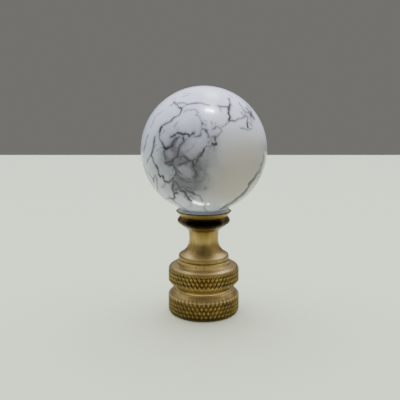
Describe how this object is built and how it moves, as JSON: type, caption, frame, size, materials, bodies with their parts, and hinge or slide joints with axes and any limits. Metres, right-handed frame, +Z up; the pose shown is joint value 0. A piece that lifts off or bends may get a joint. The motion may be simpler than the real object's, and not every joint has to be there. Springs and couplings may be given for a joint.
{
  "type": "lamp shade finial",
  "caption": "Polished stone ball on a turned antique brass base with knurled rings, which screws down over a lamp shade's hub.",
  "frame": {"origin": "centre of the flat underside, which rests on the hub of the shade", "axes": "+Z up along the turned axis, from the underside to the top of the ball; the front of the veined side faces -Y"},
  "size_m": [0.03, 0.03, 0.0546],
  "materials": {
    "howlite": "polished white stone with grey veins",
    "antique_brass": "antique brass, brushed, with a dark patina in the hollows"
  },
  "bodies": {
    "root": {"stone_ball": "howlite", "brass_base": "antique_brass"}
  },
  "joints": []
}
